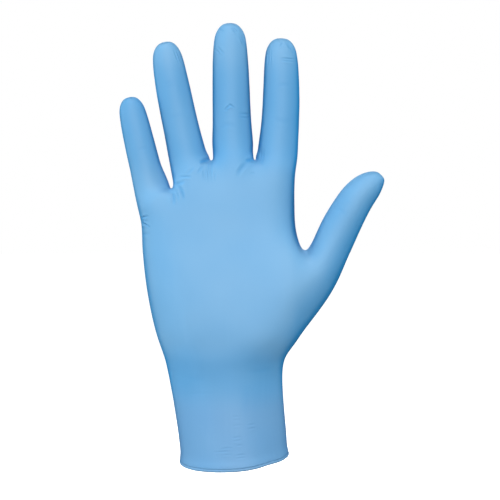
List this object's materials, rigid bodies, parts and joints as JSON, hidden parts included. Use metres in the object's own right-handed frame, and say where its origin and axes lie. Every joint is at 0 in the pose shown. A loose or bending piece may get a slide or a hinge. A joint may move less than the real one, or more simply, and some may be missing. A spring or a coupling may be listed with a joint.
{
  "type": "nitrile exam glove",
  "caption": "Thin nitrile film glove in the form that it has when worn, with five closed finger stalls, a plain palm and wrist, and an open cuff with a rolled bead.",
  "frame": {"origin": "centre of the cuff opening, level with the middle of its rim", "axes": "+Z from the cuff opening to the fingertips, -Y the way the palm faces, +X towards the thumb side"},
  "size_m": [0.1443, 0.045, 0.244],
  "materials": {
    "nitrile_film": "smooth satin light blue film"
  },
  "bodies": {
    "root": {"glove_film": "nitrile_film"}
  },
  "joints": []
}
